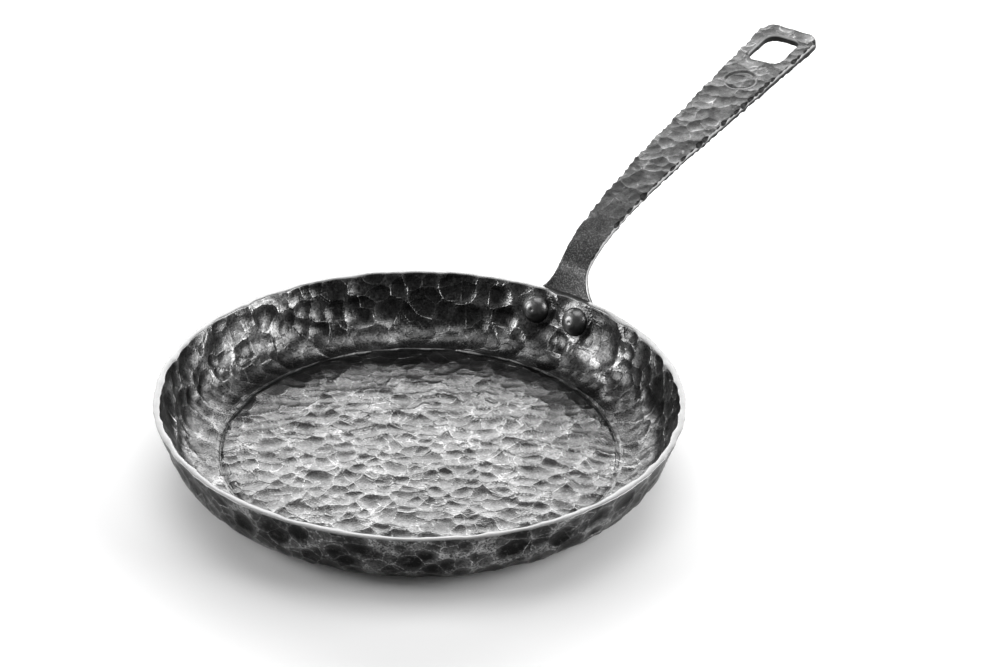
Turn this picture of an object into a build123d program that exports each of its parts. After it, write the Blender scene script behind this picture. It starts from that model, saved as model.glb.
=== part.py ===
"""Hand-hammered iron frying pan: a thick flared dish, a flat forged handle and two solid rivets.

Millimetres. The origin is the centre of the flat base, +Z is up, and the handle runs out along +X.
Every piece is nominal and smooth here: the hammer marks are shallow dents in these faces.
"""

from build123d import *

import os
from math import acos, atan2, cos, degrees, hypot, radians, sin, tan

# Dish
RIM_RADIUS = 130.0  # outside of the rim
DISH_HEIGHT = 34.5  # base to rim
BASE_RADIUS = 101.0  # flat part of the base, and of the floor inside
PLATE = 4.0  # thickness of floor and wall
CORNER = 24.0  # outside radius between base and wall
RIM_ROUND = 0.7  # worn edges of the rim's flat top

# Rivets
RIVET_HEIGHT = 24.2  # centre of a rivet on the inside of the wall
RIVET_SPACING = 24.4  # from one to the other, across the handle
RIVETS_ASIDE = 1.5  # the pair sits this far to the left of the handle's middle line
SHANK_RADIUS = 3.5
HEAD_RADIUS = 7.6  # domed head, inside the dish
HEAD_DOME = 5.2
PEEN_RADIUS = 6.0  # hammered-over end, outside on the flange
PEEN_DOME = 2.6
BEDDING = 0.6  # each head starts this far inside its plate, and is cut to the plate's curve

# Handle, in side view
FLANGE_BOTTOM = 13.5
FLANGE_PLATE = 3.0  # thickness at the rivets
TIP_PLATE = 5.8  # thickness at the tip
BEND_START = 43.0  # height where the handle leaves the line of the wall
NECK = (139.4, 51.6)  # upper face where the bend turns over, the narrowest place
SHOULDER = [(153.0, 60.4), (188.0, 72.6)]  # upper face beyond the bend
GRIP_START = (228.0, 81.6)  # from here the upper face is straight
GRIP_PITCH = 10.4  # degrees above level
HANDLE_END = 360.5  # the tip, measured level from the middle of the pan

# Handle, across
FLANGE_HALF = 22.5
FLANGE_CORNER = 7.0
FLARE = (14.7, DISH_HEIGHT)  # half width where the flare passes the rim
NECK_HALF = 8.6
TIP_HALF = 18.3
TIP_CORNER = 9.0

# Hanging hole: a rounded rectangle, square through the plate
HOLE_LENGTH = 28.8
HOLE_WIDTH = 20.4
HOLE_CORNER = 6.0
HOLE_TO_TIP = 8.6  # metal left beyond the hole

# Blank touchmark: a plain round punch mark
MARK_TO_TIP = 60.0
MARK_RADIUS = 9.5
MARK_DEPTH = 0.4

WIDE = 60.0  # more than any half width of the handle


def wall_lean():
    """Angle of the wall from the vertical: a tangent from the rim to the corner's circle."""
    across, up = RIM_RADIUS - BASE_RADIUS, DISH_HEIGHT - CORNER
    return acos(CORNER / hypot(across, up)) - atan2(up, across)


LEAN = wall_lean()
WALL_UP = (sin(LEAN), cos(LEAN))  # direction up the wall in side view
WALL_OUT = (cos(LEAN), -sin(LEAN))  # direction square out of the wall
GRIP_UP = (cos(radians(GRIP_PITCH)), sin(radians(GRIP_PITCH)))


def wall_point(height, out=0.0):
    """Point on the line of the wall's outside at a height, then moved square out of the wall."""
    along = (DISH_HEIGHT - height) / WALL_UP[1]
    x = RIM_RADIUS - along * WALL_UP[0] + out * WALL_OUT[0]
    return x, height + out * WALL_OUT[1]


def corner_point(radius, angle):
    return BASE_RADIUS + radius * cos(angle), CORNER + radius * sin(angle)


def rivet_places():
    """Frames on the inside of the wall, one each side of the handle, z pointing out of the dish."""
    x = wall_point(RIVET_HEIGHT)[0] - PLATE / cos(LEAN)
    outward = Location((x, 0, RIVET_HEIGHT), (0, 90 + degrees(LEAN), 0))
    swings = [degrees(atan2(RIVETS_ASIDE + side * RIVET_SPACING / 2, x)) for side in (1, -1)]
    return [Location((0, 0, 0), (0, 0, swing)) * outward for swing in swings]


def shank_holes():
    return [place * Cylinder(SHANK_RADIUS, WIDE) for place in rivet_places()]


def pan_body():
    """The dish, spun from its section: flat base, corner, straight leaning wall, flat rim."""
    foot, belly = -LEAN, radians(-55)
    rim_inside = RIM_RADIUS - PLATE / cos(LEAN)
    section = [
        Line((0, 0), (BASE_RADIUS, 0)),
        ThreePointArc((BASE_RADIUS, 0), corner_point(CORNER, belly), corner_point(CORNER, foot)),
        Line(corner_point(CORNER, foot), (RIM_RADIUS, DISH_HEIGHT)),
        Line((RIM_RADIUS, DISH_HEIGHT), (rim_inside, DISH_HEIGHT)),
        Line((rim_inside, DISH_HEIGHT), corner_point(CORNER - PLATE, foot)),
        ThreePointArc(
            corner_point(CORNER - PLATE, foot),
            corner_point(CORNER - PLATE, belly),
            (BASE_RADIUS, PLATE),
        ),
        Line((BASE_RADIUS, PLATE), (0, PLATE)),
        Line((0, PLATE), (0, 0)),
    ]
    dish = revolve(Plane.XZ * make_face(section), Axis.Z)
    rim = dish.edges().filter_by(GeomType.CIRCLE).filter_by_position(Axis.Z, DISH_HEIGHT - 0.1, DISH_HEIGHT + 0.1)
    return fillet(rim, RIM_ROUND) - shank_holes()


def grip_point(x):
    """Point at a distance from the middle of the pan, on the straight upper face of the grip."""
    return x, GRIP_START[1] + (x - GRIP_START[0]) * tan(radians(GRIP_PITCH))


def sunk(point, along):
    """The point of the under face below a point of the upper face, as the plate thickens outwards."""
    share = (point[0] - NECK[0]) / (HANDLE_END - NECK[0])
    plate = FLANGE_PLATE + (TIP_PLATE - FLANGE_PLATE) * max(share, 0)
    return point[0] + along.Y * plate, point[1] - along.X * plate


def side_view():
    """The handle seen from the side: up the wall, over the bend, out along the grip."""
    up, bent = Vector(*WALL_UP), Vector(*GRIP_UP)
    knots = [wall_point(BEND_START), NECK, *SHOULDER, GRIP_START]
    upper = Spline(*knots, tangents=(up, bent))
    under = []
    for knot in knots:
        under.append(sunk(knot, upper.tangent_at(upper.param_at_point(knot))))
    tip = grip_point(HANDLE_END)
    tip_under = sunk(tip, bent)
    foot, foot_under = wall_point(FLANGE_BOTTOM), wall_point(FLANGE_BOTTOM, FLANGE_PLATE)
    return make_face([
        Line(foot, knots[0]),
        upper,
        Line(GRIP_START, tip),
        Line(tip, tip_under),
        Line(tip_under, under[-1]),
        Spline(*under, tangents=(up, bent)),
        Line(under[0], foot_under),
        Line(foot_under, foot),
    ])


def front_outline():
    """Half of the flange and flare seen along +X: rounded foot, then a hollow curve into the neck."""
    foot_side = (FLANGE_HALF, FLANGE_BOTTOM + FLANGE_CORNER)
    foot_end = (FLANGE_HALF - FLANGE_CORNER, FLANGE_BOTTOM)
    hollow = [(FLANGE_HALF, RIVET_HEIGHT), FLARE, (NECK_HALF, NECK[1] - 3.0)]
    return make_face([
        Line((0, FLANGE_BOTTOM), foot_end),
        RadiusArc(foot_end, foot_side, -FLANGE_CORNER),
        Line(foot_side, hollow[0]),
        Spline(*hollow, tangents=((0, 1), (0, 1))),
        Line(hollow[-1], (NECK_HALF, WIDE)),
        Line((NECK_HALF, WIDE), (0, WIDE)),
        Line((0, WIDE), (0, FLANGE_BOTTOM)),
    ])


def grip_plane():
    """Plane of the straight upper face, with its origin at the tip and x pointing off the handle."""
    tip = grip_point(HANDLE_END)
    return Plane(
        origin=(tip[0], 0, tip[1]),
        x_dir=(GRIP_UP[0], 0, GRIP_UP[1]),
        z_dir=(-GRIP_UP[1], 0, GRIP_UP[0]),
    )


def grip_outline():
    """The handle from the neck to the tip, seen square to the grip."""
    neck = grip_plane().to_local_coords(Vector(NECK[0], 0, NECK[1])).X
    outline = make_face(Polyline(
        (neck - WIDE, -NECK_HALF),
        (neck, -NECK_HALF),
        (0, -TIP_HALF),
        (0, TIP_HALF),
        (neck, NECK_HALF),
        (neck - WIDE, NECK_HALF),
        close=True,
    ))
    tip_corners = outline.vertices().group_by(Axis.X)[-1]
    return fillet(tip_corners, TIP_CORNER)


def hanging_hole():
    centre = -HOLE_TO_TIP - HOLE_LENGTH / 2
    opening = Location((centre, 0)) * RectangleRounded(HOLE_LENGTH, HOLE_WIDTH, HOLE_CORNER)
    return extrude(grip_plane() * opening, TIP_PLATE * 2, both=True)


def touchmark():
    return grip_plane() * Location((-MARK_TO_TIP, 0, 0)) * Cylinder(MARK_RADIUS, MARK_DEPTH * 2)


def handle():
    """Flange and flare bent round the wall, and a flat tapering grip, meeting at a plane in the neck."""
    band = Plane.XZ * side_view()
    onward = Vector(SHOULDER[0][0] - NECK[0], 0, SHOULDER[0][1] - NECK[1])
    across_neck = Plane(origin=(NECK[0], 0, NECK[1]), z_dir=onward)
    swing = 1.3 * degrees(FLANGE_HALF / RIM_RADIUS)
    bent = Rot(0, 0, -swing) * revolve(band, Axis.Z, 2 * swing)
    half_front = Plane.YZ * front_outline()
    front = extrude(half_front, RIM_RADIUS * 2) + extrude(mirror(half_front, Plane.XZ), RIM_RADIUS * 2)
    flat = extrude(band, WIDE, both=True) & extrude(grip_plane() * grip_outline(), WIDE, both=True)
    root = split(bent & front, bisect_by=across_neck, keep=Keep.BOTTOM)
    grip = split(flat, bisect_by=across_neck, keep=Keep.TOP)
    return root + grip - hanging_hole() - touchmark() - shank_holes()


def dome(radius, height):
    """A cap of a sphere on a short plug, standing on the xy plane."""
    ball = (radius**2 + height**2) / (2 * height)
    cap = Location((0, 0, height - ball)) * Sphere(ball)
    return cap & Location((0, 0, height / 2)) * Box(WIDE, WIDE, height)


def rivet(place, pan, grip):
    """One rivet: a domed head on the inside wall, a shank through both plates, a peened end."""
    reach = PLATE + FLANGE_PLATE
    shank = Location((0, 0, reach / 2)) * Cylinder(SHANK_RADIUS, reach + 2 * BEDDING)
    head = Location((0, 0, BEDDING), (180, 0, 0)) * dome(HEAD_RADIUS, HEAD_DOME + BEDDING)
    peen = Location((0, 0, reach - BEDDING)) * dome(PEEN_RADIUS, PEEN_DOME + BEDDING)
    return place * (shank + head + peen) - pan - grip


pan = pan_body()
grip = handle()
rivets = [rivet(place, pan, grip) for place in rivet_places()]

os.makedirs("parts", exist_ok=True)
export_step(pan, "parts/pan_body.step")
export_step(grip, "parts/handle.step")
for side, piece in zip(("left", "right"), rivets):
    export_step(piece, f"parts/rivet_{side}.step")
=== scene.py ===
"""Hand-hammered iron frying pan: a dish, a forged handle and two rivets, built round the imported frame.

Blender metres, in the frame's own axes: the origin is the centre of the base, +Z is up and the handle
runs out along +X. Sizes are written in millimetres and turned to metres by MM.
"""

from math import acos, atan2, cos, hypot, pi, radians, sin, tan

import bmesh
import bpy
import numpy as np
from mathutils import Matrix, Vector


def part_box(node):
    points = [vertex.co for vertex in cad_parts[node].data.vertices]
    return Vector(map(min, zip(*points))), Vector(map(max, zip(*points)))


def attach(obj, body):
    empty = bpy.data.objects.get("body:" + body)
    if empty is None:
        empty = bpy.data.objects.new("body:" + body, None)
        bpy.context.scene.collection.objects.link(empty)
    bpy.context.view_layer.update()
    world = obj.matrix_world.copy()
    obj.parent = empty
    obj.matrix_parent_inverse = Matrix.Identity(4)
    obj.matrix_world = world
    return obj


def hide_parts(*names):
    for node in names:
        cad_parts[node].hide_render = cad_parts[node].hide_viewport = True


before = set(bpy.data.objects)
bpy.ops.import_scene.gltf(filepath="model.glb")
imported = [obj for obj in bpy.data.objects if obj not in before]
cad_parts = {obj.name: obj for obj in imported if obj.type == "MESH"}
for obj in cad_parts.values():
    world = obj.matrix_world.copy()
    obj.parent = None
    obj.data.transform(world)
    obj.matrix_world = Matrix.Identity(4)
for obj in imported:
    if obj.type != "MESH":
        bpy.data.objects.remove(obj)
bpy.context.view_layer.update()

# --- Dish ---------------------------------------------------------------------------------------
# One thick iron plate, raised into a low flared dish and hammered all over, inside and out, with a
# ball-faced hammer. It was blackened with oil over a fire, then rubbed, so its ridges shine, and its
# rim was ground flat and left bright.

MM = 0.001
rim_radius = 130.0 * MM
dish_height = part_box("pan_body")[1].z
base_radius = 101.0 * MM
plate = 4.0 * MM
corner = 24.0 * MM
row_height = 1.25 * MM  # of the mesh, up the wall
turns = 608  # steps of the mesh round the dish, a multiple of 8
rim_round = 0.45 * MM
crease_radius = 98.5 * MM  # of the groove where the floor meets the corner
crease_half = 1.9 * MM
crease_depth = 0.5 * MM
rivet_height = 24.2 * MM
rivet_spacing = 24.4 * MM
rivets_aside = 1.5 * MM  # the hand-set pair sits this far to the left of the handle's middle line

rise = dish_height - corner
lean = acos(corner / hypot(rim_radius - base_radius, rise)) - atan2(rise, rim_radius - base_radius)
rivet_reach = rim_radius - (dish_height - rivet_height) * tan(lean) - plate / cos(lean)
rivet_swings = [atan2(rivets_aside + side * rivet_spacing / 2, rivet_reach) for side in (1, -1)]


def add(tree, kind, links=None, **settings):
    """Adds a node; links gives each input a number, a socket, or a node whose first live output is used."""
    node = tree.nodes.new(kind)
    for name, value in settings.items():
        setattr(node, name, value)
    for socket, value in (links or {}).items():
        if isinstance(value, bpy.types.Node):
            value = next(out for out in value.outputs if out.enabled)
        if isinstance(value, bpy.types.NodeSocket):
            tree.links.new(value, node.inputs[socket])
        else:
            node.inputs[socket].default_value = value
    return node


def noise(tree, where, size, detail, roughness):
    """Mottling whose largest patches are about the given size."""
    settings = {"Vector": where, "Scale": 1 / size, "Detail": detail, "Roughness": roughness}
    return add(tree, "ShaderNodeTexNoise", settings)


def dark_metal(tree, colour, rough, relief):
    """Metal that stays dark when it is seen along its surface, as oiled iron does."""
    iron = {"Base Color": colour, "Metallic": 1.0, "Roughness": rough, "Normal": relief}
    iron["Specular Tint"] = [0.7, 0.7, 0.7, 1]
    iron = add(tree, "ShaderNodeBsdfPrincipled", iron)
    add(tree, "ShaderNodeOutputMaterial", {"Surface": iron})


def ink(code):
    """A hex sRGB colour as linear red, green, blue and alpha."""
    parts = [int(code[at:at + 2], 16) / 255 for at in (1, 3, 5)]
    return [part / 12.92 if part <= 0.04045 else ((part + 0.055) / 1.055) ** 2.4 for part in parts] + [1.0]


def blows(tree, where, shift, spacing, ball, reach, uneven):
    """One round of hammer blows, cups of the ball's radius, some deeper: the depth and its neighbour's."""
    moved = add(tree, "ShaderNodeVectorMath", {0: where, 1: shift}, operation="ADD")
    stray = add(tree, "ShaderNodeTexNoise", {"Vector": moved, "Scale": 0.5 / spacing, "Detail": 2.0})
    middle = (0.5, 0.5, 0.5)
    stray = add(tree, "ShaderNodeVectorMath", {0: stray.outputs["Color"], 1: middle}, operation="SUBTRACT")
    moved = {0: stray, 1: [0.9 * spacing] * 3, 2: moved}
    moved = add(tree, "ShaderNodeVectorMath", moved, operation="MULTIPLY_ADD")
    cell = add(tree, "ShaderNodeTexVoronoi", {"Vector": moved, "Scale": 1 / spacing}, feature="SMOOTH_F1")
    cell.inputs["Smoothness"].default_value = 0.07
    squared = add(tree, "ShaderNodeMath", {0: cell.outputs["Distance"], 1: 2.0}, operation="POWER")
    cup = {0: squared, 1: -spacing**2 / (2 * ball), 2: reach**2 / (2 * ball)}
    cup = add(tree, "ShaderNodeMath", cup, operation="MULTIPLY_ADD")
    force = add(tree, "ShaderNodeSeparateXYZ", {0: cell.outputs["Color"]})
    force = add(tree, "ShaderNodeMath", {0: force.outputs[0], 1: 0.5}, operation="SUBTRACT")
    cup = add(tree, "ShaderNodeMath", {0: force, 1: uneven, 2: cup}, operation="MULTIPLY_ADD")
    edge = {"Vector": moved, "Scale": 1 / spacing}
    edge = add(tree, "ShaderNodeTexVoronoi", edge, feature="DISTANCE_TO_EDGE")
    neighbour = {0: edge.outputs["Distance"], 1: -spacing * 0.35, 2: cup}
    return [cup, add(tree, "ShaderNodeMath", neighbour, operation="MULTIPLY_ADD")]


def deepest(tree, first, second):
    """Two rounds of blows on one surface: the depth they leave, and the depth that nearly won there."""
    top = add(tree, "ShaderNodeMath", {0: first[0], 1: second[0], 2: 0.03 * MM}, operation="SMOOTH_MAX")
    beaten = add(tree, "ShaderNodeMath", {0: first[0], 1: second[0]}, operation="MINIMUM")
    beaten = add(tree, "ShaderNodeMath", {0: beaten, 1: first[1]}, operation="MAXIMUM")
    return top, add(tree, "ShaderNodeMath", {0: beaten, 1: second[1]}, operation="MAXIMUM")


def faded(tree, pair, amount):
    """A depth and its neighbour's, both weakened by the same share."""
    return [add(tree, "ShaderNodeMath", {0: depth, 1: amount}, operation="MULTIPLY") for depth in pair]


def clear_of_rivets(tree, where, near, far, least):
    """Full strength of the blows away from the two rivets, falling to the least of it under their heads."""
    heads = [(rivet_reach * cos(swing), rivet_reach * sin(swing), rivet_height) for swing in rivet_swings]
    left, right = [
        add(tree, "ShaderNodeVectorMath", {0: where, 1: head}, operation="DISTANCE")
        for head in heads
    ]
    away = add(tree, "ShaderNodeMath", {0: left, 1: right}, operation="MINIMUM")
    clear = {0: away, 1: near, 2: far, 3: least, 4: 1.0}
    return add(tree, "ShaderNodeMapRange", clear, interpolation_type="SMOOTHSTEP")


def inside_depth(tree, where):
    """Hammering inside: light close blows on the floor, heavy ones on the wall, fewer in the corner."""
    place = add(tree, "ShaderNodeSeparateXYZ", {0: where})
    out = add(tree, "ShaderNodeVectorMath", {0: where, 1: (1, 1, 0)}, operation="MULTIPLY")
    out = add(tree, "ShaderNodeVectorMath", {0: out}, operation="LENGTH")
    off_floor = {0: out, 1: 98 * MM, 2: 102 * MM}
    off_floor = add(tree, "ShaderNodeMapRange", off_floor, interpolation_type="SMOOTHSTEP")
    up_wall = add(tree, "ShaderNodeMapRange", {0: out, 1: 103 * MM, 2: 115 * MM, 3: 0.4, 4: 1.0})
    near_rim = add(tree, "ShaderNodeMapRange", {0: place.outputs[2], 1: 29 * MM, 2: 35 * MM, 3: 1.0, 4: 0.75})
    strength = add(tree, "ShaderNodeMath", {0: up_wall, 1: near_rim}, operation="MULTIPLY")
    floor = deepest(
        tree,
        blows(tree, where, (0.31, 0.12, 0.05), 8.8 * MM, 27 * MM, 6.3 * MM, 0.4 * MM),
        blows(tree, where, (0.77, 0.45, 0.21), 12.0 * MM, 50 * MM, 8.6 * MM, 0.42 * MM),
    )
    wall = deepest(
        tree,
        blows(tree, where, (0.13, 0.62, 0.34), 11.5 * MM, 15 * MM, 7.3 * MM, 0.5 * MM),
        blows(tree, where, (0.57, 0.22, 0.84), 15.0 * MM, 30 * MM, 9.8 * MM, 0.5 * MM),
    )
    wall = faded(tree, wall, strength)
    wall = faded(tree, wall, clear_of_rivets(tree, where, 7 * MM, 11 * MM, 0.25))
    both = [add(tree, "ShaderNodeMix", {0: off_floor, 2: low, 3: high}) for low, high in zip(floor, wall)]
    crease = add(tree, "ShaderNodeMath", {0: out, 1: crease_radius}, operation="SUBTRACT")
    crease = add(tree, "ShaderNodeMath", {0: crease}, operation="ABSOLUTE")
    crease = {0: crease, 1: 0.0, 2: crease_half, 3: crease_depth, 4: 0.0}
    crease = add(tree, "ShaderNodeMapRange", crease, interpolation_type="SMOOTHSTEP")
    return [add(tree, "ShaderNodeMath", {0: depth, 1: crease}, operation="ADD") for depth in both]


def outside_depth(tree, where):
    """Hammering outside: fewer, wider blows, with bare lands between them and a smoother band at the rim."""
    place = add(tree, "ShaderNodeSeparateXYZ", {0: where})
    band = add(tree, "ShaderNodeMapRange", {0: place.outputs[2], 1: 24 * MM, 2: 35 * MM, 3: 1.0, 4: 0.5})
    lands = [0.05 * MM, 0.05 * MM]
    wall = deepest(
        tree,
        blows(tree, where, (0.42, 0.91, 0.57), 12.5 * MM, 26 * MM, 8.2 * MM, 0.5 * MM),
        blows(tree, where, (0.18, 0.33, 0.91), 9.0 * MM, 20 * MM, 5.6 * MM, 0.5 * MM),
    )
    aside = add(tree, "ShaderNodeMath", {0: place.outputs[1]}, operation="ABSOLUTE")
    clear = [
        add(tree, "ShaderNodeMapRange", {0: aside, 1: 21.5 * MM, 2: 26 * MM}),
        add(tree, "ShaderNodeMapRange", {0: place.outputs[0], 1: 5 * MM, 2: 0.0}),
        add(tree, "ShaderNodeMapRange", {0: place.outputs[2], 1: 14.5 * MM, 2: 9 * MM}),
    ]
    bare = add(tree, "ShaderNodeMath", {0: clear[0], 1: clear[1]}, operation="MAXIMUM")
    bare = add(tree, "ShaderNodeMath", {0: bare, 1: clear[2]}, operation="MAXIMUM")
    wall = deepest(tree, faded(tree, wall, band), lands)
    return faded(tree, wall, bare)


def wall_section(depth):
    """Points down one face of the wall and round its corner, from the rim to the edge of the flat."""
    foot = (base_radius + (corner - depth) * cos(lean), corner - (corner - depth) * sin(lean))
    top = (rim_radius - depth / cos(lean), dish_height)
    rows = round(hypot(top[0] - foot[0], top[1] - foot[1]) / row_height)
    points = []
    for row in range(rows):
        points.append((top[0] + (foot[0] - top[0]) * row / rows, top[1] + (foot[1] - top[1]) * row / rows))
    sweep = pi / 2 - lean
    rows = round((corner - depth) * sweep / row_height)
    for row in range(rows + 1):
        angle = lean + sweep * row / rows
        points.append((base_radius + (corner - depth) * cos(angle), corner - (corner - depth) * sin(angle)))
    return points


def skin(depth, outward):
    """One face of the plate as an open sheet: a wall spun from a section, a flat from a rounded grid."""
    bm = bmesh.new()
    section = [bm.verts.new((r, 0, z)) for r, z in wall_section(depth)]
    lines = [bm.edges.new(pair) for pair in zip(section, section[1:])]
    bmesh.ops.spin(bm, geom=section + lines, axis=(0, 0, 1), angle=2 * pi, steps=turns, use_merge=True)
    flat = bmesh.ops.create_grid(bm, x_segments=turns // 4, y_segments=turns // 4, size=1)["verts"]
    for vert in flat:
        a, b = vert.co.x, vert.co.y
        reach, angle = (a, pi / 4 * b / a) if abs(a) > abs(b) else (b, pi / 2 - pi / 4 * a / (b or 1))
        vert.co = (base_radius * reach * cos(angle), base_radius * reach * sin(angle), depth)
    bmesh.ops.remove_doubles(bm, verts=bm.verts, dist=0.05 * MM)
    bmesh.ops.recalc_face_normals(bm, faces=bm.faces)
    lowest = min(bm.faces, key=lambda face: face.calc_center_median().length)
    if (lowest.normal.z > 0) == outward:
        bmesh.ops.reverse_faces(bm, faces=bm.faces)
    mesh = bpy.data.meshes.new("skin")
    bm.to_mesh(mesh)
    bm.free()
    return mesh


def strike(mesh, depth_rule):
    """Sinks a mesh along its normals by depth_rule, and keeps each point's first place and its depth."""
    tree = bpy.data.node_groups.new("hammer", "GeometryNodeTree")
    tree.interface.new_socket("Geometry", in_out="INPUT", socket_type="NodeSocketGeometry")
    tree.interface.new_socket("Geometry", in_out="OUTPUT", socket_type="NodeSocketGeometry")
    start = add(tree, "NodeGroupInput")
    place = add(tree, "GeometryNodeInputPosition")
    depth = depth_rule(tree, place.outputs[0])[0]
    kept = add(tree, "GeometryNodeStoreNamedAttribute", {"Geometry": start, "Name": "forged", "Value": place},
               data_type="FLOAT_VECTOR", domain="POINT")
    kept = add(tree, "GeometryNodeStoreNamedAttribute", {"Geometry": kept, "Name": "sunk", "Value": depth},
               data_type="FLOAT", domain="POINT")
    down = add(tree, "ShaderNodeMath", {0: depth, 1: -1.0}, operation="MULTIPLY")
    normal = add(tree, "GeometryNodeInputNormal")
    move = add(tree, "ShaderNodeVectorMath", {0: normal.outputs[0], "Scale": down}, operation="SCALE")
    struck = add(tree, "GeometryNodeSetPosition", {"Geometry": kept, "Offset": move})
    add(tree, "NodeGroupOutput", {0: struck})
    block = bpy.data.objects.new("block", mesh)
    bpy.context.scene.collection.objects.link(block)
    block.modifiers.new("hammer", "NODES").node_group = tree
    shaped = bpy.data.meshes.new_from_object(block.evaluated_get(bpy.context.evaluated_depsgraph_get()))
    bpy.data.objects.remove(block)
    return shaped


def dish_mesh():
    """Both hammered faces, ground level at the rim and closed there by the flat, whose edges are eased."""
    bm = bmesh.new()
    bm.from_mesh(strike(skin(plate, False), inside_depth))
    inside_faces = len(bm.faces)
    bm.from_mesh(strike(skin(0.0, True), outside_depth))
    bm.faces.ensure_lookup_table()
    for number, face in enumerate(bm.faces):
        face.material_index = 0 if number < inside_faces else 1
    brim = [edge for edge in bm.edges if edge.is_boundary]
    for vert in {vert for edge in brim for vert in edge.verts}:
        vert.co.z = dish_height
    ring = bmesh.ops.bridge_loops(bm, edges=brim)["faces"]
    for face in ring:
        face.material_index = 2
    bmesh.ops.bevel(bm, geom=brim, affect="EDGES", offset=rim_round, segments=2, profile=0.5, material=2)
    for face in bm.faces:
        face.smooth = True
    mesh = bpy.data.meshes.new("dish")
    bm.to_mesh(mesh)
    bm.free()
    return mesh


def blackened_iron(name, depth_rule, flat_tones, wall_tones, shine, wear, mottle):
    """Forged iron, oil-blackened: dark speckled dents, lighter high ground, thin bright lines on ridges."""
    material = bpy.data.materials.new(name)
    material.use_nodes = True
    tree = material.node_tree
    tree.nodes.clear()
    where = add(tree, "ShaderNodeAttribute", attribute_name="forged").outputs["Vector"]
    sunk = add(tree, "ShaderNodeAttribute", attribute_name="sunk").outputs["Fac"]
    depth, beaten = depth_rule(tree, where)
    missed = add(tree, "ShaderNodeMath", {0: sunk, 1: depth}, operation="SUBTRACT")
    grain = noise(tree, where, 1.1 * MM, 4.0, 0.7)
    scale = noise(tree, where, 3.2 * MM, 6.0, 0.72)
    patch = noise(tree, where, 14 * MM, 4.0, 0.6)
    out = add(tree, "ShaderNodeVectorMath", {0: where, 1: (1, 1, 0)}, operation="MULTIPLY")
    out = add(tree, "ShaderNodeVectorMath", {0: out}, operation="LENGTH")
    on_wall = add(tree, "ShaderNodeMapRange", {0: out, 1: 100 * MM, 2: 110 * MM})
    coarse = add(tree, "ShaderNodeMapRange", {0: on_wall, 3: 0.08 * MM, 4: 0.17 * MM})
    grit = add(tree, "ShaderNodeMath", {0: scale, 1: coarse, 2: missed}, operation="MULTIPLY_ADD")
    relief = add(tree, "ShaderNodeBump", {"Height": grit, "Distance": 1.0, "Strength": 1.0})
    high = add(tree, "ShaderNodeMapRange", {0: depth, 1: 0.1 * MM, 2: 0.9 * MM, 3: 1.0, 4: 0.0})
    worn = add(tree, "ShaderNodeMapRange", {0: patch, 1: 0.4, 2: 0.62, 3: 0.15, 4: 1.0})
    high = add(tree, "ShaderNodeMath", {0: high, 1: worn}, operation="MULTIPLY")
    dent, land = [
        add(tree, "ShaderNodeMix", {0: on_wall, 6: ink(flat), 7: ink(wall)}, data_type="RGBA")
        for flat, wall in zip(flat_tones, wall_tones)
    ]
    ground = add(tree, "ShaderNodeMix", {0: high, 6: dent, 7: land}, data_type="RGBA")
    soot = add(tree, "ShaderNodeMapRange", {0: scale, 1: 0.5, 2: 0.7, 3: 0.0, 4: mottle})
    ground = add(tree, "ShaderNodeMix", {0: soot, 6: ground, 7: ink("#242424")}, data_type="RGBA")
    bare = add(tree, "ShaderNodeMapRange", {0: scale, 1: 0.47, 2: 0.33, 3: 0.0, 4: mottle})
    ground = add(tree, "ShaderNodeMix", {0: bare, 6: ground, 7: land}, data_type="RGBA")
    bold = add(tree, "ShaderNodeMapRange", {0: on_wall, 3: 0.55, 4: 1.0})
    pitted = add(tree, "ShaderNodeMapRange", {0: grain, 1: 0.53, 2: 0.4, 3: 0.0, 4: 0.65})
    pitted = add(tree, "ShaderNodeMath", {0: pitted, 1: bold}, operation="MULTIPLY")
    ground = add(tree, "ShaderNodeMix", {0: pitted, 6: ground, 7: ink("#1e1e1e")}, data_type="RGBA")
    gap = add(tree, "ShaderNodeMath", {0: depth, 1: beaten}, operation="SUBTRACT")
    line = add(tree, "ShaderNodeMapRange", {0: gap, 1: 0.01 * MM, 2: 0.1 * MM, 3: 1.0, 4: 0.0})
    rubbed = add(tree, "ShaderNodeMapRange", {0: patch, 1: wear, 2: wear + 0.2, 3: 0.3, 4: 1.0})
    flecks = add(tree, "ShaderNodeMapRange", {0: grain, 1: 0.42, 2: 0.6})
    line = add(tree, "ShaderNodeMath", {0: line, 1: rubbed}, operation="MULTIPLY")
    line = add(tree, "ShaderNodeMath", {0: line, 1: flecks}, operation="MULTIPLY")
    line = add(tree, "ShaderNodeMath", {0: line, 1: bold}, operation="MULTIPLY")
    colour = add(tree, "ShaderNodeMix", {0: line, 6: ground, 7: ink("#b8b8b8")}, data_type="RGBA")
    satin = add(tree, "ShaderNodeMapRange", {0: on_wall, 3: shine, 4: shine + 0.05})
    rough = add(tree, "ShaderNodeMath", {0: grain, 1: 0.14, 2: satin}, operation="MULTIPLY_ADD")
    dark_metal(tree, colour, rough, relief)
    return material


def ground_iron():
    """Bare iron, ground and rubbed bright, with a faint fine grain."""
    material = bpy.data.materials.new("ground bright iron")
    material.use_nodes = True
    tree = material.node_tree
    tree.nodes.clear()
    place = add(tree, "ShaderNodeTexCoord")
    grain = noise(tree, place.outputs["Object"], 0.9 * MM, 4.0, 0.5)
    colour = add(tree, "ShaderNodeMix", {0: grain, 6: ink("#747474"), 7: ink("#8e8e8e")}, data_type="RGBA")
    rough = add(tree, "ShaderNodeMapRange", {0: grain, 3: 0.28, 4: 0.5})
    iron = add(tree, "ShaderNodeBsdfPrincipled", {"Base Color": colour, "Metallic": 1.0, "Roughness": rough})
    add(tree, "ShaderNodeOutputMaterial", {"Surface": iron})
    return material


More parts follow.
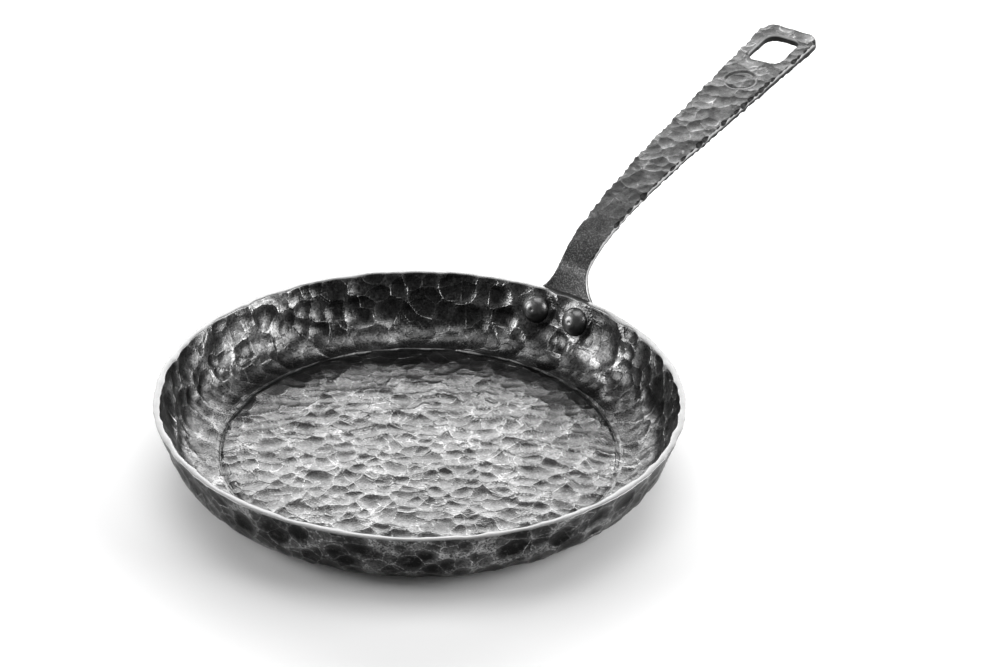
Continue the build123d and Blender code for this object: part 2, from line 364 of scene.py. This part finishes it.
def piece(name, mesh, materials):
    """An object at the origin with its place in its mesh."""
    made = bpy.data.objects.new(name, mesh)
    for material in materials:
        mesh.materials.append(material)
    bpy.context.scene.collection.objects.link(made)
    return made


inside_iron = blackened_iron(
    "oil-blackened hammered iron, inside", inside_depth,
    flat_tones=("#565656", "#7c7c7c"), wall_tones=("#525252", "#a0a0a0"), shine=0.17, wear=0.5, mottle=0.4,
)
outside_iron = blackened_iron(
    "oil-blackened hammered iron, outside", outside_depth,
    flat_tones=("#242424", "#5a5a5a"), wall_tones=("#161616", "#868686"), shine=0.18, wear=0.4, mottle=0.45,
)
dish = piece("hammered_dish", dish_mesh(), [inside_iron, outside_iron, ground_iron()])
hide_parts("pan_body")
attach(dish, "root")

# --- Handle -------------------------------------------------------------------------------------
# One forged iron bar. Its flat foot follows the wall and is riveted to it, a narrow neck turns up over
# the rim, and the grip widens to a rounded end with a punched hole. It is planished with light blows,
# its long edges are dressed with a row of small facets, and it carries one plain round punch mark.

foot_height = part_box("handle")[0].z
handle_tip = 360.5 * MM
bend_start = 43.0 * MM
neck = (139.4 * MM, 51.6 * MM)
shoulder = [(153.0 * MM, 60.4 * MM), (188.0 * MM, 72.6 * MM)]
grip_start = (228.0 * MM, 81.6 * MM)
grip_pitch = radians(10.4)
foot_plate = 3.0 * MM
tip_plate = 5.8 * MM
foot_half = 22.5 * MM
rim_half = 14.7 * MM
neck_half = 8.6 * MM
tip_half = 18.3 * MM
foot_corner = 7.0 * MM
tip_corner = 9.0 * MM
hole_length = 28.8 * MM
hole_width = 20.4 * MM
hole_corner = 6.0 * MM
hole_to_tip = 8.6 * MM
mark_to_tip = 60.0 * MM
mark_radius = 9.2 * MM
bar_grain = 0.46 * MM  # step of the even mesh that the bar is worked from


def eased_curve(knots, first_way, last_way, steps):
    """Points on a cubic spline through the knots that leaves and arrives in the given directions."""
    knots = np.array(knots)
    runs = np.hypot(*np.diff(knots, axis=0).T)
    bends, wanted = np.eye(len(knots)), np.zeros(knots.shape)
    wanted[0], wanted[-1] = first_way, last_way
    for at in range(1, len(knots) - 1):
        before, after = runs[at - 1], runs[at]
        bends[at, at - 1:at + 2] = after, 2 * (before + after), before
        onward, inward = knots[at + 1] - knots[at], knots[at] - knots[at - 1]
        wanted[at] = 3 * (before / after * onward + after / before * inward)
    ways = np.linalg.solve(bends, wanted)
    points = []
    for at, run in enumerate(runs):
        for share in np.linspace(0, 1, steps, endpoint=False):
            ease = share * share * (3 - 2 * share)
            leave, arrive = share * (1 - share) ** 2, -share * share * (1 - share)
            bow = (leave * ways[at] + arrive * ways[at + 1]) * run
            points.append(knots[at] * (1 - ease) + knots[at + 1] * ease + bow)
    return points + [knots[-1]]


def wall_point(height):
    """Point on the line of the wall's outside, in side view."""
    return rim_radius - (dish_height - height) * tan(lean), height


up_wall = (sin(lean), cos(lean))
along_grip = (cos(grip_pitch), sin(grip_pitch))
spine = eased_curve([wall_point(bend_start), neck, *shoulder, grip_start], up_wall, along_grip, 24)
tip_point = (handle_tip, grip_start[1] + (handle_tip - grip_start[0]) * tan(grip_pitch))
spine = np.array([wall_point(foot_height), *spine, tip_point])
spine_run = np.concatenate([[0], np.cumsum(np.hypot(*np.diff(spine, axis=0).T))])
bar_length = float(spine_run[-1])
rivet_run = (rivet_height - foot_height) / cos(lean)
rim_run = (dish_height - foot_height) / cos(lean)
neck_run = float(np.interp(neck[0], spine[:, 0], spine_run))
mark_run = bar_length - mark_to_tip


def round_corner(middle, radius, start):
    """Points round a quarter circle, from the angle start, in the plane of the flat bar."""
    angles = [radians(start + 90 * step / 8) for step in range(9)]
    return [(middle[0] + radius * cos(angle), middle[1] + radius * sin(angle)) for angle in angles]


def bar_outline():
    """One side of the flat bar, from the end of its foot round to the end of its tip."""
    foot = round_corner((foot_corner, foot_half - foot_corner), foot_corner, 90)[::-1]
    hollow = [(rivet_run, foot_half), (rim_run, rim_half), (neck_run - 3 * MM, neck_half)]
    hollow = [tuple(point) for point in eased_curve(hollow, (1, 0), (1, 0), 12)]
    tip = round_corner((bar_length - tip_corner, tip_half - tip_corner), tip_corner, 0)[::-1]
    return foot + hollow + [(neck_run, neck_half)] + tip


def flat_bar():
    """The bar before it is bent: along X, upper face at z = 0, one even mesh with softened edges."""
    bm = bmesh.new()
    side = bar_outline()
    hole_middle = (bar_length - hole_to_tip - hole_length / 2, 0)
    in_x, in_y = hole_length / 2 - hole_corner, hole_width / 2 - hole_corner
    hole = []
    for start, x, y in ((0, in_x, in_y), (90, -in_x, in_y), (180, -in_x, -in_y), (270, in_x, -in_y)):
        hole += round_corner((hole_middle[0] + x, y), hole_corner, start)
    for loop in (side + [(x, -y) for x, y in reversed(side)], hole):
        ring = [bm.verts.new((x, y, 0)) for x, y in loop]
        for number, vert in enumerate(ring):
            bm.edges.new((vert, ring[number - 1]))
    bmesh.ops.triangle_fill(bm, edges=bm.edges, use_beauty=True)
    raised = bmesh.ops.extrude_face_region(bm, geom=bm.faces[:])["geom"]
    for vert in raised:
        if isinstance(vert, bmesh.types.BMVert):
            share = max((vert.co.x - neck_run) / (bar_length - neck_run), 0)
            vert.co.z = -foot_plate - (tip_plate - foot_plate) * share
    bmesh.ops.recalc_face_normals(bm, faces=bm.faces)
    mesh = bpy.data.meshes.new("flat bar")
    bm.to_mesh(mesh)
    bm.free()
    blank = bpy.data.objects.new("blank", mesh)
    bpy.context.scene.collection.objects.link(blank)
    even = blank.modifiers.new("even", "REMESH")
    even.mode = "VOXEL"
    even.voxel_size = bar_grain
    soft = blank.modifiers.new("soft", "SMOOTH")
    soft.factor = 0.5
    soft.iterations = 4
    shaped = bpy.data.meshes.new_from_object(blank.evaluated_get(bpy.context.evaluated_depsgraph_get()))
    bpy.data.objects.remove(blank)
    return shaped


def handle_depth(tree, where):
    """Planishing: shallow blows on the grip, hardly any on the root, none where the foot lies on the wall."""
    place = add(tree, "ShaderNodeSeparateXYZ", {0: where})
    on_grip = add(tree, "ShaderNodeMapRange", {0: place.outputs[0], 1: 60 * MM, 2: 85 * MM, 3: 0.3, 4: 1.0})
    past_rim = add(tree, "ShaderNodeMapRange", {0: place.outputs[0], 1: rim_run, 2: rim_run + 8 * MM})
    off_wall = add(tree, "ShaderNodeMapRange", {0: place.outputs[2], 1: -0.5 * MM, 2: -1.5 * MM})
    bare = add(tree, "ShaderNodeMath", {0: past_rim, 1: off_wall}, operation="MAXIMUM")
    strength = add(tree, "ShaderNodeMath", {0: on_grip, 1: bare}, operation="MULTIPLY")
    cups = deepest(
        tree,
        blows(tree, where, (0.23, 0.35, 0.47), 9.5 * MM, 34 * MM, 6.4 * MM, 0.25 * MM),
        blows(tree, where, (0.61, 0.07, 0.73), 15.0 * MM, 90 * MM, 10.5 * MM, 0.35 * MM),
    )
    return faded(tree, cups, strength)


def dress_edges(mesh):
    """Cuts rows of small cups along the bar's corners and sides, and keeps where they lie as attributes."""
    chance = np.random.default_rng(11)
    step = 0.5 * MM  # along the edge, to find which way it runs
    span = 6 * MM  # how far one blow can reach
    ease_in = 30 * MM  # past the neck, over which the blows grow to full size
    at_tip = 0.4  # share of the full size round the tip
    # Each row's place, then the pitch, the bite and the cup's radius of its blows in millimetres.
    rows = (("top", 6.0, 1.5, 5.0), ("under", 6.6, 1.0, 5.5), ("side", 7.4, 0.3, 10.0))
    spots = np.array([vert.co for vert in mesh.vertices])
    side = np.array([point for point in bar_outline() if point[0] > rim_run])
    side = np.concatenate([side, [(bar_length, 0)]])
    side_run = np.concatenate([[0], np.cumsum(np.hypot(*np.diff(side, axis=0).T))])
    past_neck = np.clip((spots[:, 0] - neck_run) / (bar_length - neck_run), 0, 1)
    plate_here = foot_plate + (tip_plate - foot_plate) * past_neck
    dressed = np.full(len(spots), -1.0)
    for mirror in (1, -1):
        for level, pitch, bite, cup in rows:
            at = neck_run + 2 * MM - rim_run
            while at < side_run[-1]:
                here = np.array([np.interp(at, side_run, side[:, axis]) for axis in (0, 1)])
                ahead = np.array([np.interp(at + step, side_run, side[:, axis]) for axis in (0, 1)])
                back = np.array([np.interp(at - step, side_run, side[:, axis]) for axis in (0, 1)])
                way = (ahead - back) / np.hypot(*(ahead - back))
                here[1] *= mirror
                way[1] *= mirror
                off = np.array([-way[1], way[0]]) * mirror
                near = np.hypot(spots[:, 0] - here[0], spots[:, 1] - here[1]) < span
                local = spots[near]
                along = (local[:, :2] - here) @ way
                out = (local[:, :2] - here) @ off
                raise_by = {"top": local[:, 2], "under": -local[:, 2] - plate_here[near], "side": 0}[level]
                face = {"top": 1, "under": -1, "side": 0}[level]
                tilt = radians(45) if face else 0.0
                height = out * cos(tilt) + raise_by * sin(tilt)
                size = chance.uniform(0.5, 1.3)
                if here[0] > bar_length - tip_corner / 2:
                    size *= at_tip
                start = min(max((at + rim_run - neck_run) / ease_in, 0.35), 1.0)
                floor = -bite * size * start * MM + along**2 / (2 * cup * MM)
                cut = np.maximum(height - floor, 0)
                if level == "top":
                    dressed[near] = np.maximum(dressed[near], (height - floor) / MM)
                local[:, 0] -= cut * off[0] * cos(tilt)
                local[:, 1] -= cut * off[1] * cos(tilt)
                local[:, 2] -= cut * sin(tilt) * face
                spots[near] = local
                at += pitch * MM * chance.uniform(0.75, 1.3)
    keep = mesh.attributes.new("dressed", "FLOAT", "POINT")
    keep.data.foreach_set("value", np.clip(dressed, -1, 1))
    return spots


def punch_mark(spots):
    """A plain round mark from a blank punch: a shallow dish with a sharper ring and a faint raised lip."""
    away = np.hypot(spots[:, 0] - mark_run, spots[:, 1])
    dish = 0.28 * np.clip((mark_radius - away) / (1.1 * MM), 0, 1)
    ring = 0.3 * np.exp(-((away - mark_radius + 0.9 * MM) / (0.5 * MM)) ** 2)
    lip = -0.14 * np.exp(-((away - mark_radius - 0.5 * MM) / (0.6 * MM)) ** 2)
    spots[:, 2] -= np.where(spots[:, 2] > -1.5 * MM, dish + ring + lip, 0) * MM


def bend(spots):
    """Bends the flat bar onto its spine, and wraps its foot round the wall."""
    run = spots[:, 0]
    middle = [np.interp(run, spine_run, spine[:, axis]) for axis in (0, 1)]
    step = 1.5 * MM
    ahead = [np.interp(np.minimum(run + step, bar_length), spine_run, spine[:, axis]) for axis in (0, 1)]
    back = [np.interp(np.maximum(run - step, 0), spine_run, spine[:, axis]) for axis in (0, 1)]
    way = np.array([ahead[0] - back[0], ahead[1] - back[1]])
    way /= np.hypot(*way)
    x = middle[0] - way[1] * spots[:, 2] + way[0] * (np.minimum(run, 0) + np.maximum(run - bar_length, 0))
    z = middle[1] + way[0] * spots[:, 2] + way[1] * (np.minimum(run, 0) + np.maximum(run - bar_length, 0))
    wrap = np.clip((neck_run + 18 * MM - run) / (neck_run + 18 * MM - rim_run), 0, 1)
    wrap = wrap * wrap * (3 - 2 * wrap)
    x -= (x - np.sqrt(x**2 - spots[:, 1] ** 2)) * wrap
    return np.stack([x, spots[:, 1], z], axis=1)


def handle_mesh():
    """The bar hammered, dressed and marked while it is flat, and then bent."""
    mesh = strike(flat_bar(), handle_depth)
    spots = dress_edges(mesh)
    punch_mark(spots)
    flanks = np.zeros(len(mesh.vertices) * 3)
    mesh.vertices.foreach_set("co", spots.ravel())
    mesh.update()
    mesh.vertex_normals.foreach_get("vector", flanks)
    keep = mesh.attributes.new("flank", "FLOAT", "POINT")
    keep.data.foreach_set("value", 1 - np.abs(flanks.reshape(-1, 3)[:, 2]))
    mesh.vertices.foreach_set("co", bend(spots).ravel())
    mesh.update()
    for face in mesh.polygons:
        face.use_smooth = True
    return mesh


def waxed_iron():
    """Forged iron under wax: fine speckle on the root, rubbed patches on the grip, edge facets painted near
    black as shade, flanks painted light above as a highlight and dark below as shade.
    """
    material = bpy.data.materials.new("waxed forged iron")
    material.use_nodes = True
    tree = material.node_tree
    tree.nodes.clear()
    where = add(tree, "ShaderNodeAttribute", attribute_name="forged").outputs["Vector"]
    sunk = add(tree, "ShaderNodeAttribute", attribute_name="sunk").outputs["Fac"]
    dressed = add(tree, "ShaderNodeAttribute", attribute_name="dressed").outputs["Fac"]
    flank = add(tree, "ShaderNodeAttribute", attribute_name="flank").outputs["Fac"]
    place = add(tree, "ShaderNodeSeparateXYZ", {0: where})
    depth, beaten = handle_depth(tree, where)
    missed = add(tree, "ShaderNodeMath", {0: sunk, 1: depth}, operation="SUBTRACT")
    grain = noise(tree, where, 1.0 * MM, 4.0, 0.7)
    patch = noise(tree, where, 10 * MM, 5.0, 0.65)
    grit = add(tree, "ShaderNodeMath", {0: grain, 1: 0.12 * MM, 2: missed}, operation="MULTIPLY_ADD")
    relief = add(tree, "ShaderNodeBump", {"Height": grit, "Distance": 1.0, "Strength": 1.0})
    along = add(tree, "ShaderNodeMapRange", {0: place.outputs[0], 1: 45 * MM, 2: 95 * MM})
    body = add(tree, "ShaderNodeMix", {0: along, 6: ink("#424242"), 7: ink("#4c4c4c")}, data_type="RGBA")
    fine = add(tree, "ShaderNodeMapRange", {0: grain, 1: 0.48, 2: 0.64})
    high = add(tree, "ShaderNodeMapRange", {0: patch, 1: 0.45, 2: 0.7})
    high = add(tree, "ShaderNodeMix", {0: along, 2: fine, 3: high})
    ground = add(tree, "ShaderNodeMix", {0: high, 6: body, 7: ink("#7a7a7a")}, data_type="RGBA")
    scale = noise(tree, where, 3 * MM, 6.0, 0.72)
    soot = add(tree, "ShaderNodeMapRange", {0: scale, 1: 0.5, 2: 0.68, 3: 0.0, 4: 0.6})
    ground = add(tree, "ShaderNodeMix", {0: soot, 6: ground, 7: ink("#222222")}, data_type="RGBA")
    gap = add(tree, "ShaderNodeMath", {0: depth, 1: beaten}, operation="SUBTRACT")
    line = add(tree, "ShaderNodeMapRange", {0: gap, 1: 0.01 * MM, 2: 0.08 * MM, 3: 1.0, 4: 0.0})
    rubbed = add(tree, "ShaderNodeMapRange", {0: patch, 1: 0.5, 2: 0.68})
    line = add(tree, "ShaderNodeMath", {0: line, 1: rubbed}, operation="MULTIPLY")
    line = add(tree, "ShaderNodeMath", {0: line, 1: along}, operation="MULTIPLY")
    off_mark = add(tree, "ShaderNodeVectorMath", {0: where, 1: (mark_run, 0, 0)}, operation="DISTANCE")
    off_mark = add(tree, "ShaderNodeMapRange", {0: off_mark, 1: mark_radius, 2: mark_radius + 1.5 * MM})
    line = add(tree, "ShaderNodeMath", {0: line, 1: off_mark}, operation="MULTIPLY")
    colour = add(tree, "ShaderNodeMix", {0: line, 6: ground, 7: ink("#b4b4b4")}, data_type="RGBA")
    # Painted highlight and painted shade: each flank is coloured light on its upper half, as if lit by the
    # side lamp, and dark on its lower half, as if in the shade below.
    low = add(tree, "ShaderNodeMapRange", {0: place.outputs[2], 1: -1.6 * MM, 2: -2.6 * MM})
    flank_painted_light_and_shade = add(tree, "ShaderNodeMix", {0: low, 6: ink("#989898"), 7: ink("#242424")}, data_type="RGBA")
    side = add(tree, "ShaderNodeMapRange", {0: flank, 1: 0.45, 2: 0.8})
    colour = add(tree, "ShaderNodeMix", {0: side, 6: colour, 7: flank_painted_light_and_shade}, data_type="RGBA")
    # Painted shade: the top-row edge facets are coloured near black, standing in for the dark surroundings
    # they reflect.
    painted_facet_shade = add(tree, "ShaderNodeMapRange", {0: dressed, 1: -0.02, 2: 0.12, 3: 0.0, 4: 0.9})
    colour = add(tree, "ShaderNodeMix", {0: painted_facet_shade, 6: colour, 7: ink("#202020")}, data_type="RGBA")
    rough = add(tree, "ShaderNodeMapRange", {0: grain, 3: 0.27, 4: 0.45})
    dark_metal(tree, colour, rough, relief)
    return material


bar = piece("forged_handle", handle_mesh(), [waxed_iron()])
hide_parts("handle")
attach(bar, "root")

# --- Rivets -------------------------------------------------------------------------------------
# Two solid iron rivets through wall and foot, set by hand a little to one side. Inside the dish each has a
# turned head, a low cone with a raised boss and a centre dimple; outside, its end is hammered over.

rivet_steps = 96


def rivet_section():
    """Half section from the head's dimple to the peened end, z pointing out of the dish."""
    head = [(0.0, -5.22), (0.4, -5.24), (0.8, -5.36), (1.4, -5.38), (2.2, -5.28), (3.0, -5.04), (3.7, -4.7)]
    head += [(4.0, -4.46), (4.3, -4.34), (5.1, -3.86), (5.9, -3.1), (6.6, -2.2), (7.2, -1.1), (7.5, -0.3)]
    head += [(7.6, 0.3), (7.6, 1.6), (3.5, 1.6)]
    end = [(3.5, 6.6), (6.0, 6.6), (6.0, 7.2), (5.75, 7.9), (5.2, 8.5), (4.2, 9.1), (2.8, 9.5)]
    end += [(1.3, 9.62), (0.0, 9.65)]
    return [(r * MM, z * MM) for r, z in head + end]


def rivet_mesh(swing):
    """One rivet spun from its section, and swung round the dish to its place."""
    bm = bmesh.new()
    section = [bm.verts.new((r, 0, z)) for r, z in rivet_section()]
    lines = [bm.edges.new(pair) for pair in zip(section, section[1:])]
    bmesh.ops.spin(bm, geom=section + lines, axis=(0, 0, 1), angle=2 * pi, steps=rivet_steps, use_merge=True)
    bmesh.ops.remove_doubles(bm, verts=bm.verts, dist=0.01 * MM)
    bmesh.ops.recalc_face_normals(bm, faces=bm.faces)
    sharp = [edge for edge in bm.edges if len(edge.link_faces) == 2 and edge.calc_face_angle() > radians(50)]
    bmesh.ops.bevel(bm, geom=sharp, affect="EDGES", offset=0.2 * MM, segments=2, profile=0.5, material=-1)
    for face in bm.faces:
        face.smooth = True
    outwards = Matrix.Translation((rivet_reach, 0, rivet_height)) @ Matrix.Rotation(pi / 2 + lean, 4, "Y")
    bmesh.ops.transform(bm, matrix=Matrix.Rotation(swing, 4, "Z") @ outwards, verts=bm.verts)
    mesh = bpy.data.meshes.new("rivet")
    bm.to_mesh(mesh)
    bm.free()
    return mesh


def turned_iron():
    """Turned iron, blackened: an even dark satin, faintly mottled by a fine grain."""
    material = bpy.data.materials.new("turned and blackened iron")
    material.use_nodes = True
    tree = material.node_tree
    tree.nodes.clear()
    place = add(tree, "ShaderNodeTexCoord").outputs["Object"]
    grain = noise(tree, place, 1.2 * MM, 4.0, 0.6)
    colour = add(tree, "ShaderNodeMix", {0: grain, 6: ink("#606060"), 7: ink("#949494")}, data_type="RGBA")
    rough = add(tree, "ShaderNodeMapRange", {0: grain, 3: 0.3, 4: 0.42})
    grit = add(tree, "ShaderNodeMath", {0: grain, 1: 0.02 * MM}, operation="MULTIPLY")
    relief = add(tree, "ShaderNodeBump", {"Height": grit, "Distance": 1.0, "Strength": 0.8})
    dark_metal(tree, colour, rough, relief)
    return material


rivet_finish = turned_iron()
for side, swing in zip(("left", "right"), rivet_swings):
    rivet = piece(f"rivet_head_{side}", rivet_mesh(swing), [rivet_finish])
    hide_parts(f"rivet_{side}")
    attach(rivet, "root")

# --- Studio -------------------------------------------------------------------------------------
# A white table under large soft lights, and the camera.

floor_half = 3.0
level = bmesh.new()
bmesh.ops.create_grid(level, x_segments=2, y_segments=2, size=floor_half)
table_mesh = bpy.data.meshes.new("table")
level.to_mesh(table_mesh)
level.free()
white = bpy.data.materials.new("white table")
white.use_nodes = True
white.node_tree.nodes["Principled BSDF"].inputs["Base Color"].default_value = ink("#f4f4f4")
white.node_tree.nodes["Principled BSDF"].inputs["Roughness"].default_value = 0.6
table = piece("table", table_mesh, [white])

handle_turn = radians(56.04)  # the handle points this far round from the camera's right
tip_down = radians(29.21)
roll = radians(1.41)
ahead = Vector((sin(handle_turn) * cos(tip_down), cos(handle_turn) * cos(tip_down), -sin(tip_down)))
right = Vector((cos(handle_turn), -sin(handle_turn), 0))
up = right.cross(ahead)
rolled_right = right * cos(roll) + up * sin(roll)
rolled_up = up * cos(roll) - right * sin(roll)
away, aside, above = 1.3568, 0.03897, 0.02947  # of the camera from the middle of the mouth, in its own axes
station = Vector((0, 0, dish_height)) - ahead * away + rolled_right * aside + rolled_up * above
lens = bpy.data.cameras.new("camera")
lens.lens = 100.0
lens.sensor_width = 36.0
camera = bpy.data.objects.new("camera", lens)
facing = Matrix((rolled_right, rolled_up, -ahead)).transposed().to_4x4()
camera.matrix_world = Matrix.Translation(station) @ facing
bpy.context.scene.collection.objects.link(camera)
bpy.context.scene.camera = camera


def softbox(name, place, aim, size, power):
    """A rectangular soft light at place, facing aim."""
    lamp = bpy.data.lights.new(name, "AREA")
    lamp.shape = "RECTANGLE"
    lamp.size, lamp.size_y = size
    lamp.energy = power
    holder = bpy.data.objects.new(name, lamp)
    holder.location = place
    holder.rotation_euler = (Vector(aim) - Vector(place)).to_track_quat("-Z", "Y").to_euler()
    bpy.context.scene.collection.objects.link(holder)


flat_ahead = Vector((sin(handle_turn), cos(handle_turn), 0))
softbox("backdrop", flat_ahead * 2.2 + Vector((0, 0, 0.95)), (0, 0, 0.1), (4.2, 1.1), 90)
softbox("overhead", flat_ahead * 0.3 + Vector((0, 0, 1.9)), (0, 0, 0), (1.6, 1.2), 12)
softbox("left", -right * 1.3 + Vector((0, 0, 0.5)), (0, 0, 0), (0.8, 0.9), 15)
softbox("right", right * 1.3 + Vector((0, 0, 0.5)), (0, 0, 0), (1.1, 0.9), 22)

sky = bpy.data.worlds.new("studio")
sky.use_nodes = True
sky.node_tree.nodes["Background"].inputs["Color"].default_value = ink("#ffffff")
sky.node_tree.nodes["Background"].inputs["Strength"].default_value = 0.13
bpy.context.scene.world = sky
bpy.context.scene.view_settings.view_transform = "Standard"
